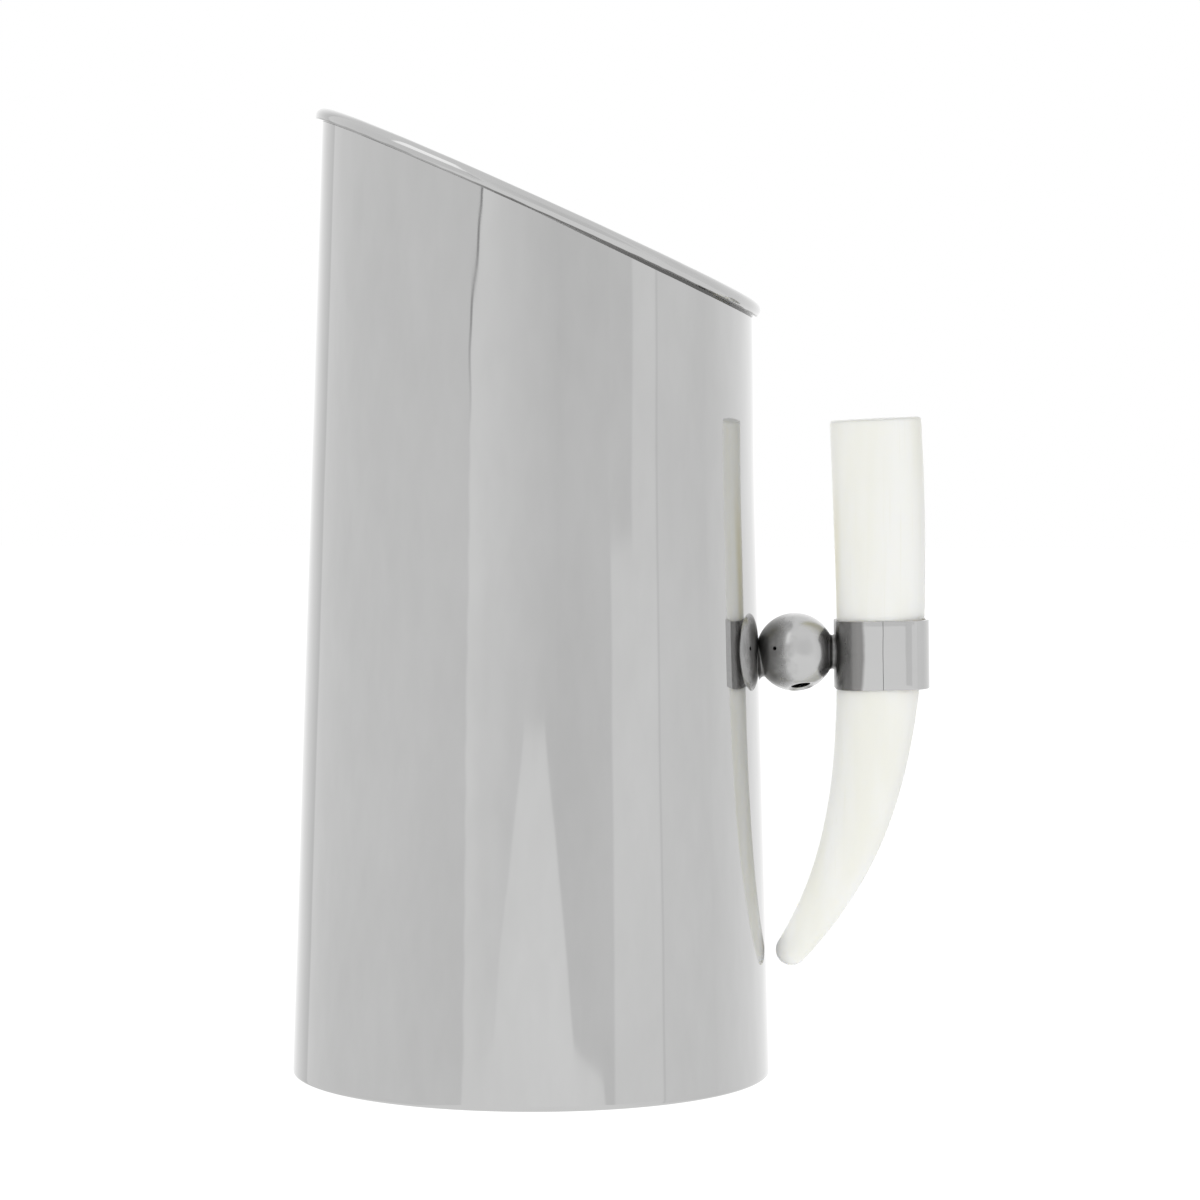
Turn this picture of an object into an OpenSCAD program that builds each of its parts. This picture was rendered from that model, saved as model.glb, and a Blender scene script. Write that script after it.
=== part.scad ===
// Silver water pitcher: a tapered round body with a slanted, beaded mouth, and a
// curved horn grip that one soldered ball holds off the wall.
// Origin: centre of the base on the table. +Z up, +X to the grip, -X to the pouring lip.

/* [Body] */
// Diameter at which the wall's line meets the table
base_d = 128; // [110:1:150]
// Angle that the wall leans inwards, in degrees
wall_draft = 1.8; // [0.5:0.1:3]
// Thickness of the body's sheet
wall_t = 1.1; // [0.8:0.1:1.1]
// Thickness of the base disc
disc_t = 1.4; // [1.2:0.1:2]
// Radius of the rounding along the base disc's lower edge
disc_edge_r = 0.6; // [0.3:0.1:0.8]

/* [Mouth] */
// Height of the wall's top edge on the body's axis
mouth_h = 228.4; // [210:0.1:250]
// Slant of the mouth, in degrees, falling towards the grip
mouth_tilt = 24; // [5:0.5:26]
// Radius of the bead wire
bead_r = 2.25; // [2:0.05:2.6]
// Depth of the bead wire's flat seat below its centre
bead_seat = 1.5; // [1.2:0.05:1.6]
// Distance of the bead wire's centre outside the wall's outer face
bead_out = 0.2; // [0:0.05:0.5]

/* [Ball joint] */
// Diameter of the ball
ball_d = 20.9; // [19:0.1:22]
// Height of the ball's centre above the table
ball_z = 112.8; // [100:0.2:125]
// Depth of the hollow filed into the ball where it meets the wall
ball_seat = 0.6; // [0.2:0.1:0.8]
// Thickness of the ball's skin
ball_t = 1.3; // [1:0.1:2]
// Diameter of the hole under the ball
drain_d = 5.2; // [3:0.2:6]
// Diameter of the countersink round that hole
drain_rim_d = 7; // [6.2:0.2:8]
// Tilt of that hole from straight down towards the front, in degrees
drain_front = 21; // [0:1:30]
// Tilt of that hole from straight down towards the grip, in degrees
drain_side = 8.5; // [0:0.5:15]
// Diameter of the pinhole in the ball's side
pinhole_d = 1.2; // [0.8:0.1:2]
// Turn of the pinhole from the front towards the body, in degrees
pinhole_turn = 35; // [15:1:45]
// Angle of the pinhole above the ball's equator, in degrees
pinhole_rise = 8.3; // [0:0.1:20]
// Diameter of the solder collar at the wall
wall_collar_d = 10.3; // [8:0.1:11]
// Distance of the wall collar's centre below the ball's centre
wall_collar_drop = 2.6; // [0:0.1:3]
// Diameter of the solder collar at the band
band_collar_d = 10; // [8:0.1:11]
// Diameter of the dowel through the ball
dowel_d = 4; // [3:0.1:4.5]
// Length of the dowel that lies inside the horn
dowel_bite = 8; // [4:0.5:10]

/* [Band] */
// Width of the band, from the body outwards
band_w = 25.1; // [25:0.1:27]
// Depth of the band, from front to back
band_d = 20.4; // [19.6:0.1:22]
// Height of the band
band_h = 18.4; // [14:0.1:22]
// Thickness of the band's strip
band_t = 0.9; // [0.6:0.1:1.1]
// Outside corner radius of the band
band_r = 7.5; // [5:0.5:9]
// Angle that the band leans towards the body, in degrees
band_lean = 1; // [0:0.1:2]
// Gap between the ball and the band, filled by the solder collar
band_gap = 0.2; // [0.2:0.05:0.8]
// Height of the band's middle below the ball's centre
band_drop = 0.4; // [0:0.1:2]
// Thickness of the bedding between the horn and the band
bed_t = 0.15; // [0.1:0.05:0.4]

/* [Horn grip] */
// Height of the centre of the horn's sawn top
horn_top_z = 175.2; // [165:0.1:185]
// Half width of the horn at its top
horn_top_half_w = 12.2; // [11:0.1:12.4]
// Half width at which the horn's tip starts to round over
horn_tip_half_w = 4.3; // [3:0.1:5]
// Depth of the horn's top as a share of its width
horn_flatness = 0.76; // [0.7:0.01:0.8]
// Radius of the rounding along the edge of the sawn top
horn_edge_r = 0.8; // [0.4:0.1:1.5]

/* [Hidden] */

SILVER = [0.78, 0.78, 0.77];
SOLDER = [0.70, 0.70, 0.69];
BEDDING = [0.55, 0.45, 0.32];
HORN = [0.93, 0.92, 0.84];

ROUND = 256;
SMALL_ROUND = 128;
OVER = 1;

base_r = base_d / 2;
body_h = mouth_h + base_r;
wall_slope = tan(wall_draft);
function wall_radius(z) = base_r - z * wall_slope;

edge_x = wall_radius(disc_edge_r) - disc_edge_r / cos(wall_draft);

// The mouth's plane: its normal, and its in-plane direction straight down the slant.
mouth_normal = [sin(mouth_tilt), 0, cos(mouth_tilt)];
BEAD_STEPS = 120;
BEAD_SIDES = 12;
bead_start = -asin(bead_seat / bead_r);

ball_r = ball_d / 2;
ball_x = wall_radius(ball_z) - ball_seat + ball_r;
band_x = ball_x + ball_r + band_gap + band_w / 2;
band_z = ball_z - band_drop;

// The horn's middle line is one Bezier curve in the XZ plane, from the sawn top to the tip.
horn_line = [[band_x - 2.1, horn_top_z], [band_x + 2, horn_top_z - 77.4],
             [band_x + 0.2, horn_top_z - 110.6], [band_x - 23.6, horn_top_z - 142.6]];
horn_half_w = [horn_top_half_w, 12.8, 8.7, horn_tip_half_w];
HORN_STEPS = 40;
HORN_SIDES = 32;
CAP_STEPS = 7;
EDGE_STEPS = 3;

function bezier(p, t) = pow(1 - t, 3) * p[0] + 3 * pow(1 - t, 2) * t * p[1]
    + 3 * (1 - t) * t * t * p[2] + pow(t, 3) * p[3];
function bezier_slope(p, t) = 3 * pow(1 - t, 2) * (p[1] - p[0])
    + 6 * (1 - t) * t * (p[2] - p[1]) + 3 * t * t * (p[3] - p[2]);
function unit(v) = v / norm(v);
function dot(a, b) = a * b;

// Faces of a loft over rings that all have the same number of points.
function side_faces(rings, sides) = [for (i = [0 : rings - 2], j = [0 : sides - 1])
    [i * sides + j, i * sides + (j + 1) % sides, (i + 1) * sides + (j + 1) % sides, (i + 1) * sides + j]];

// ---- Body ----

// A solid body within the wall's line, drawn in by the inset, from the given height up.
module wall_form(inset, bottom)
    rotate_extrude($fn = ROUND) polygon([
        [0, bottom],
        [wall_radius(bottom) - inset / cos(wall_draft), bottom],
        [wall_radius(body_h) - inset / cos(wall_draft), body_h],
        [0, body_h],
    ]);

module above_mouth()
    translate([0, 0, mouth_h]) rotate([0, mouth_tilt, 0])
        translate([-body_h, -body_h, 0]) cube([2 * body_h, 2 * body_h, body_h]);

module body_wall() color(SILVER) difference() {
    wall_form(0, disc_t);
    wall_form(wall_t, disc_t - OVER);
    above_mouth();
}

// The wall stands on the disc, whose edge is filed flush with the wall.
module base_disc() color(SILVER) rotate_extrude($fn = ROUND) {
    translate([edge_x, disc_edge_r]) circle(disc_edge_r, $fn = SMALL_ROUND);
    polygon([
        [0, 0],
        [edge_x, 0],
        [edge_x + disc_edge_r * cos(wall_draft), disc_edge_r * (1 + sin(wall_draft))],
        [wall_radius(disc_t), disc_t],
        [0, disc_t],
    ]);
}

// Radius of the wall's outer face where the mouth's plane cuts it, at one angle round the axis.
function mouth_radius(a) = wall_radius(mouth_h) / (1 - wall_slope * tan(mouth_tilt) * cos(a));
function mouth_point(a) =
    let (r = mouth_radius(a)) [r * cos(a), r * sin(a), mouth_h - r * cos(a) * tan(mouth_tilt)];
function mouth_outward(a) =
    let (radial = [cos(a), sin(a), 0]) unit(radial - dot(radial, mouth_normal) * mouth_normal);

// A D-shaped wire whose flat lies on the wall's sawn edge.
module rim_bead() color(SILVER) {
    points = [for (i = [0 : BEAD_STEPS - 1], j = [0 : BEAD_SIDES])
        let (a = 360 * i / BEAD_STEPS, b = bead_start + (180 - 2 * bead_start) * j / BEAD_SIDES)
        mouth_point(a) + (bead_out + bead_r * cos(b)) * mouth_outward(a)
            + (bead_seat + bead_r * sin(b)) * mouth_normal];
    sides = BEAD_SIDES + 1;
    rings = side_faces(BEAD_STEPS, sides);
    closing = [for (j = [0 : sides - 1])
        [(BEAD_STEPS - 1) * sides + j, (BEAD_STEPS - 1) * sides + (j + 1) % sides, (j + 1) % sides, j]];
    polyhedron(points, concat(rings, closing), convexity = 4);
}

// ---- Ball joint ----

module at_ball() translate([ball_x, 0, ball_z]) children();

// A cylinder along X, centred on the ball's height less a drop.
module along_x(x0, x1, d, drop = 0)
    translate([x0, 0, ball_z - drop]) rotate([0, 90, 0]) cylinder(x1 - x0, d = d, $fn = SMALL_ROUND);

dowel_start = wall_radius(ball_z);
dowel_end = band_x - band_w / 2 + band_t + bed_t + dowel_bite;

module dowel_form() along_x(dowel_start, dowel_end, dowel_d);

module handle_dowel() color(SILVER) difference() {
    along_x(dowel_start - OVER, dowel_end, dowel_d);
    wall_form(0, 0);
}

module handle_ball() color(SILVER) difference() {
    at_ball() sphere(ball_r, $fn = SMALL_ROUND);
    at_ball() sphere(ball_r - ball_t, $fn = SMALL_ROUND);
    wall_form(0, 0);
    dowel_form();
    at_ball() rotate([-drain_front, 0, 0]) rotate([0, -drain_side, 0]) mirror([0, 0, 1]) {
        cylinder(ball_d, d = drain_d, $fn = SMALL_ROUND);
        drain_rim();
    }
    at_ball() rotate([0, 0, -pinhole_turn]) rotate([90 - pinhole_rise, 0, 0])
        cylinder(ball_d, d = pinhole_d, $fn = SMALL_ROUND);
}

// Countersink cone that opens from the hole's diameter to its rim at the ball's surface.
module drain_rim() {
    rim_h = sqrt(pow(ball_r, 2) - pow(drain_rim_d / 2, 2));
    cone_h = (drain_rim_d - drain_d) / 2;
    translate([0, 0, rim_h - cone_h])
        cylinder(2 * cone_h, d1 = drain_d, d2 = drain_rim_d + 2 * cone_h, $fn = SMALL_ROUND);
}

module wall_collar() color(SOLDER) difference() {
    along_x(dowel_start - OVER, ball_x - ball_r * 0.7, wall_collar_d, wall_collar_drop);
    wall_form(0, 0);
    at_ball() sphere(ball_r, $fn = SMALL_ROUND);
    dowel_form();
}

module band_collar() color(SOLDER) difference() {
    along_x(ball_x + ball_r * 0.8, band_x, band_collar_d);
    at_ball() sphere(ball_r, $fn = SMALL_ROUND);
    band_prism(0, band_h);
    dowel_form();
}

// ---- Band ----

module rounded_rectangle(w, d, r) {
    square([w - 2 * r, d], center = true);
    square([w, d - 2 * r], center = true);
    for (x = [-1, 1], y = [-1, 1])
        translate([x * (w / 2 - r), y * (d / 2 - r)]) circle(r, $fn = SMALL_ROUND);
}

module at_band() translate([band_x, 0, band_z]) rotate([0, -band_lean, 0]) children();

module band_prism(inset, h)
    at_band() translate([0, 0, -h / 2]) linear_extrude(h)
        rounded_rectangle(band_w - 2 * inset, band_d - 2 * inset, band_r - inset);

module horn_band() color(SILVER) difference() {
    band_prism(0, band_h);
    band_prism(band_t, band_h + 2 * OVER);
    dowel_form();
}

module band_bedding() color(BEDDING) difference() {
    band_prism(band_t, band_h);
    intersection() {
        horn_form();
        band_prism(band_t + bed_t, band_h + 2 * OVER);
    }
    dowel_form();
}

// ---- Horn grip ----

function signed_pow(v, e) = sign(v) * pow(abs(v), e);

// One ring round the horn's middle line: a superellipse that turns round towards the tip.
function horn_ring(centre, across, half_w, half_d, power) = [for (j = [0 : HORN_SIDES - 1])
    let (b = 360 * j / HORN_SIDES)
    [centre[0], 0, centre[1]]
        + half_w * signed_pow(cos(b), 2 / power) * [across[0], 0, across[1]]
        + half_d * signed_pow(sin(b), 2 / power) * [0, 1, 0]];

// The ring at t along the middle line, moved along it by a step and drawn in by an inset.
function horn_section(t, step, inset) =
    let (along = unit(bezier_slope(horn_line, t)), half_w = bezier(horn_half_w, t),
         half_d = half_w * (horn_flatness + (1 - horn_flatness) * t))
    horn_ring(bezier(horn_line, t) + step * along, [-along[1], along[0]],
              half_w - inset, half_d - inset, 2.5 - 0.5 * t);

module horn_form() {
    top = [for (i = [0 : EDGE_STEPS]) let (b = 90 * i / EDGE_STEPS)
        horn_section(0, horn_edge_r * (1 - cos(b)), horn_edge_r * (1 - sin(b)))];
    shaft = [for (i = [1 : HORN_STEPS]) horn_section(i / HORN_STEPS, 0, 0)];
    cap = [for (i = [1 : CAP_STEPS - 1]) let (b = 90 * i / CAP_STEPS)
        horn_section(1, horn_tip_half_w * sin(b), horn_tip_half_w * (1 - cos(b)))];
    rings = concat(top, shaft, cap);
    last = len(rings) * HORN_SIDES;
    tip = bezier(horn_line, 1) + horn_tip_half_w * unit(bezier_slope(horn_line, 1));
    points = concat([for (ring = rings, p = ring) p], [[tip[0], 0, tip[1]]]);
    top_face = [[for (j = [HORN_SIDES - 1 : -1 : 0]) j]];
    tip_faces = [for (j = [0 : HORN_SIDES - 1])
        [last - HORN_SIDES + j, last - HORN_SIDES + (j + 1) % HORN_SIDES, last]];
    polyhedron(points, concat(top_face, side_faces(len(rings), HORN_SIDES), tip_faces), convexity = 4);
}

// The horn is let in where the band goes round it.
module horn_grip() color(HORN) difference() {
    horn_form();
    difference() {
        at_band() cube([2 * band_w, 2 * band_d, band_h], center = true);
        band_prism(band_t + bed_t, band_h + 2 * OVER);
    }
    dowel_form();
}

body_wall();
base_disc();
rim_bead();
handle_ball();
wall_collar();
band_collar();
handle_dowel();
horn_band();
band_bedding();
horn_grip();
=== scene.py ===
"""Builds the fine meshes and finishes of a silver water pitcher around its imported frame.

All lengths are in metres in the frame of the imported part: the origin is the centre of the base on the
table, +Z is up, +X points to the horn grip and the front faces -Y.
"""

from __future__ import annotations

import logging
import math
from dataclasses import dataclass, field
from enum import Enum
from typing import Any, Callable, Iterable, Sequence

import bmesh
import bpy
import numpy as np
from mathutils import Matrix, Vector, noise

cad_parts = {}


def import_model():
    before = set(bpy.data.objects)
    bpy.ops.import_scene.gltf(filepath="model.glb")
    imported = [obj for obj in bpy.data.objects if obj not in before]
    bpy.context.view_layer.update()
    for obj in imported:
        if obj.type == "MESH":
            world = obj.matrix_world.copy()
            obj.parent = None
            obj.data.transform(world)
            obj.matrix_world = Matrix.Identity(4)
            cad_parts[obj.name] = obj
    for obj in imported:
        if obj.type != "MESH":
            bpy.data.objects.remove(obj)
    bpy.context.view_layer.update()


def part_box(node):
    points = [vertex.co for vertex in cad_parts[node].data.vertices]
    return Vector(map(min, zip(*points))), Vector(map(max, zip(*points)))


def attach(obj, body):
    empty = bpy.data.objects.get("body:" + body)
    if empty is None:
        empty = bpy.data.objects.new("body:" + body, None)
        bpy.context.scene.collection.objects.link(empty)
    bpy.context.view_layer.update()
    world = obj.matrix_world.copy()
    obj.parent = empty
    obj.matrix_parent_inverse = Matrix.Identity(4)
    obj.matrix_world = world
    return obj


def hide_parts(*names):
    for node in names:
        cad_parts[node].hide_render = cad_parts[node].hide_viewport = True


LOG = logging.getLogger("pitcher")
MM = 0.001
BODY = "root"
FULL_TURN = 2.0 * math.pi
WHITE = (1.0, 1.0, 1.0, 1.0)
Pair = tuple[float, float]
Triple = tuple[float, float, float]
Colour = tuple[float, float, float, float]
Socket = bpy.types.NodeSocket


# ---- Mesh helpers ----


def smooth_step(low: float, high: float, value: float) -> float:
    """Returns 0 below low, 1 above high and an S-shaped blend between them."""
    share = min(max((value - low) / (high - low), 0.0), 1.0)
    return share * share * (3.0 - 2.0 * share)


def shade(mesh: bpy.types.Mesh, sharp_degrees: float) -> None:
    """Shades a mesh smooth, with creases where its faces meet at a steep angle.

    Args:
        mesh: The mesh to shade.
        sharp_degrees: Angle between two faces above which their edge stays sharp.
    """
    work = bmesh.new()
    work.from_mesh(mesh)
    bmesh.ops.recalc_face_normals(work, faces=work.faces)
    limit = math.radians(sharp_degrees)
    for face in work.faces:
        face.smooth = True
    for edge in work.edges:
        if len(edge.link_faces) == 2:
            edge.smooth = edge.calc_face_angle(0.0) < limit
    work.to_mesh(mesh)
    work.free()


def add_object(name: str, data: bpy.types.ID) -> bpy.types.Object:
    """Links a new object that holds a mesh, a light or a camera, and returns it."""
    made = bpy.data.objects.new(name, data)
    bpy.context.scene.collection.objects.link(made)
    return made


def cubic(points: Sequence[Any], share: float) -> Any:
    """Returns the value of a cubic curve with four control values at a share of its way."""
    a, b = 1.0 - share, share
    return a**3 * points[0] + 3 * a * a * b * points[1] + 3 * a * b * b * points[2] + b**3 * points[3]


def loft(
    name: str,
    rings: np.ndarray,
    closed_path: bool = False,
    capped: bool = False,
    sharp_degrees: float = 38.0,
) -> bpy.types.Object:
    """Makes a skin over rings that all have the same number of points.

    Args:
        name: Name of the new object and its mesh.
        rings: Points in the shape (ring, point, 3); each ring is a closed loop.
        closed_path: Whether the last ring joins the first.
        capped: Whether both ends are closed with a fan of triangles.
        sharp_degrees: Angle above which an edge stays sharp.

    Returns:
        The new object.
    """
    count, sides = rings.shape[:2]
    points = [tuple(p) for p in rings.reshape(-1, 3)]
    faces: list[tuple[int, ...]] = []
    for i in range(count if closed_path else count - 1):
        here = i * sides
        there = ((i + 1) % count) * sides
        for j in range(sides):
            k = (j + 1) % sides
            faces.append((here + j, here + k, there + k, there + j))
    if capped:
        for start, ring in ((0, rings[0]), ((count - 1) * sides, rings[-1])):
            points.append(tuple(ring.mean(axis=0)))
            hub = len(points) - 1
            for j in range(sides):
                faces.append((start + j, start + (j + 1) % sides, hub))
    mesh = bpy.data.meshes.new(name)
    mesh.from_pydata(points, [], faces)
    shade(mesh, sharp_degrees)
    return add_object(name, mesh)


def lathe(
    name: str,
    outline: Sequence[Pair],
    steps: int,
    place: Matrix | None = None,
    sharp_degrees: float = 38.0,
) -> bpy.types.Object:
    """Turns a closed outline round the Z axis.

    Args:
        name: Name of the new object.
        outline: Points as (radius, height); a point on the axis becomes a single vertex.
        steps: Number of segments round the axis.
        place: Where the turned shape goes, or None to leave it on the Z axis.
        sharp_degrees: Angle above which an edge stays sharp.

    Returns:
        The new object.
    """
    work = bmesh.new()
    columns: list[list[bmesh.types.BMVert]] = []
    on_axis = {i: work.verts.new((0.0, 0.0, z)) for i, (r, z) in enumerate(outline) if r < 1e-7}
    for step in range(steps):
        turn = FULL_TURN * step / steps
        columns.append([
            on_axis[i] if i in on_axis else work.verts.new((r * math.cos(turn), r * math.sin(turn), z))
            for i, (r, z) in enumerate(outline)
        ])
    for step in range(steps):
        left = columns[step]
        right = columns[(step + 1) % steps]
        for i in range(len(outline)):
            k = (i + 1) % len(outline)
            corners = list(dict.fromkeys((left[i], right[i], right[k], left[k])))
            if len(corners) > 2:
                work.faces.new(corners)
    if place is not None:
        work.transform(place)
    mesh = bpy.data.meshes.new(name)
    work.to_mesh(mesh)
    work.free()
    shade(mesh, sharp_degrees)
    return add_object(name, mesh)


def arc(centre: Pair, radius: float, start: float, end: float, steps: int) -> list[Pair]:
    """Returns the points of a circular arc in a plane, both ends included.

    Args:
        centre: Centre of the arc.
        radius: Radius of the arc.
        start: First angle, in degrees.
        end: Last angle, in degrees.
        steps: Number of chords.

    Returns:
        The points as pairs.
    """
    turns = [math.radians(start + (end - start) * i / steps) for i in range(steps + 1)]
    return [(centre[0] + radius * math.cos(t), centre[1] + radius * math.sin(t)) for t in turns]


def bore(piece: bpy.types.Object, origin: Vector, direction: Vector, radius: float, reach: float) -> None:
    """Drills a round hole into a piece and keeps the result as its own mesh.

    Args:
        piece: The piece to drill.
        origin: Where the drill starts.
        direction: Which way the drill goes.
        radius: Radius of the hole.
        reach: Length of the drill from its origin.
    """
    drill = lathe("drill", [(0.0, 0.0), (radius, 0.0), (radius, reach), (0.0, reach)], 32)
    drill.matrix_world = Matrix.Translation(origin) @ direction.to_track_quat("Z", "Y").to_matrix().to_4x4()
    cut = piece.modifiers.new("hole", "BOOLEAN")
    cut.operation = "DIFFERENCE"
    cut.solver = "EXACT"
    cut.object = drill
    bpy.context.view_layer.update()
    drilled = bpy.data.meshes.new_from_object(piece.evaluated_get(bpy.context.evaluated_depsgraph_get()))
    piece.modifiers.remove(cut)
    old = piece.data
    piece.data = drilled
    bpy.data.meshes.remove(old)
    bpy.data.objects.remove(drill)
    shade(drilled, 38.0)


def dress(piece: bpy.types.Object, finish: "Finish", replaced: str) -> None:
    """Gives a piece its material and ties it to the frame.

    Args:
        piece: The finished mesh object.
        finish: The finish it gets.
        replaced: The CAD node that it stands for.
    """
    piece.data.materials.clear()
    piece.data.materials.append(finish.material())
    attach(piece, BODY)
    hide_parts(replaced)
    LOG.info("%s: %d faces, stands for %s", piece.name, len(piece.data.polygons), replaced)


# ---- Shader helpers ----


@dataclass
class Wires:
    """Adds nodes to one shader tree and links them."""

    tree: bpy.types.NodeTree

    def node(self, kind: str, **settings: Any) -> bpy.types.Node:
        """Adds a node of a kind and sets the given properties on it."""
        made = self.tree.nodes.new(kind)
        for key, value in settings.items():
            setattr(made, key, value)
        return made

    def plug(self, target: Socket, value: Any) -> None:
        """Links a socket to the target, or sets the target to a plain value."""
        if isinstance(value, bpy.types.NodeSocket):
            self.tree.links.new(value, target)
        elif value is not None:
            target.default_value = value

    def maths(self, operation: str, *values: Any, clamp: bool = False) -> Socket:
        """Returns the output of a maths node on the given values."""
        made = self.node("ShaderNodeMath", operation=operation, use_clamp=clamp)
        for socket, value in zip(made.inputs, values):
            self.plug(socket, value)
        return made.outputs[0]

    def plus(self, first: Any, second: Any) -> Socket:
        """Returns first plus second."""
        return self.maths("ADD", first, second)

    def minus(self, first: Any, second: Any) -> Socket:
        """Returns first minus second."""
        return self.maths("SUBTRACT", first, second)

    def times(self, first: Any, second: Any) -> Socket:
        """Returns first times second."""
        return self.maths("MULTIPLY", first, second)

    def times_plus(self, value: Any, factor: Any, offset: Any) -> Socket:
        """Returns value times factor plus offset."""
        return self.maths("MULTIPLY_ADD", value, factor, offset)

    def dim(self, value: Any, share: Any) -> Socket:
        """Returns the value less a share of itself."""
        return self.times(value, self.minus(1.0, share))

    def towards(self, value: Any, wanted: float, share: Any) -> Socket:
        """Returns the value moved a share of the way towards the wanted one."""
        return self.plus(value, self.times(share, self.minus(wanted, value)))

    def away_from(self, value: Any, middle: Any) -> Socket:
        """Returns how far the value lies from the middle, on either side."""
        return self.maths("ABSOLUTE", self.minus(value, middle))

    def axes(self, where: Any) -> Any:
        """Returns the x, y and z sockets of a place or a direction."""
        made = self.node("ShaderNodeSeparateXYZ")
        self.plug(made.inputs[0], where)
        return made.outputs

    def vector(self, operation: str, *values: Any) -> bpy.types.Node:
        """Returns a vector maths node on the given values."""
        made = self.node("ShaderNodeVectorMath", operation=operation)
        for socket, value in zip(made.inputs, values):
            self.plug(socket, value)
        return made

    def rise(self, value: Any, low: Any, high: Any) -> Socket:
        """Returns a smooth step from 0 at low to 1 at high."""
        made = self.node("ShaderNodeMapRange", interpolation_type="SMOOTHSTEP")
        self.plug(made.inputs["Value"], value)
        self.plug(made.inputs["From Min"], low)
        self.plug(made.inputs["From Max"], high)
        return made.outputs["Result"]

    def blend(self, share: Any, first: Any, second: Any) -> Socket:
        """Returns a colour that goes from first to second as share goes from 0 to 1."""
        made = self.node("ShaderNodeMix", data_type="RGBA", clamp_factor=True)
        self.plug(made.inputs[0], share)
        self.plug(made.inputs[6], first)
        self.plug(made.inputs[7], second)
        return made.outputs[2]

    def noise(self, where: Any, scale: Any, detail: float, roughness: float = 0.5) -> Socket:
        """Returns the value of a noise texture."""
        made = self.node("ShaderNodeTexNoise")
        self.plug(made.inputs["Vector"], where)
        self.plug(made.inputs["Scale"], scale)
        made.inputs["Detail"].default_value = detail
        made.inputs["Roughness"].default_value = roughness
        return made.outputs[0]

    def stretched(self, where: Any, scale: Triple, turn: Triple = (0.0, 0.0, 0.0)) -> Socket:
        """Returns coordinates that are turned and then scaled on each axis."""
        made = self.node("ShaderNodeMapping")
        self.plug(made.inputs["Vector"], where)
        made.inputs["Rotation"].default_value = turn
        made.inputs["Scale"].default_value = scale
        return made.outputs[0]

    def bump(self, shader: bpy.types.Node, height: Socket, strength: float, distance: float) -> None:
        """Dents a shader's surface by a height between 0 and 1.

        Args:
            shader: The shader whose surface is dented.
            height: The height at each place.
            strength: How much of the dent is seen.
            distance: Depth of the dent at full strength.
        """
        made = self.node("ShaderNodeBump")
        made.inputs["Strength"].default_value = strength
        made.inputs["Distance"].default_value = distance
        self.plug(made.inputs["Height"], height)
        self.plug(shader.inputs["Normal"], made.outputs[0])

    def mix(self, share: Any, first: bpy.types.Node, second: bpy.types.Node) -> bpy.types.Node:
        """Returns a shader that goes from first to second as share goes from 0 to 1."""
        made = self.node("ShaderNodeMixShader")
        self.plug(made.inputs[0], share)
        self.plug(made.inputs[1], first.outputs[0])
        self.plug(made.inputs[2], second.outputs[0])
        return made


class Effect(Enum):
    """The shader node groups that several finishes share."""

    HAIRLINES = "Hairlines"
    CLOUDING = "Clouding"
    # Painted shade: ragged round patches of darker colour.
    PAINTED_SHADE = "PaintedShade"


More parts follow.
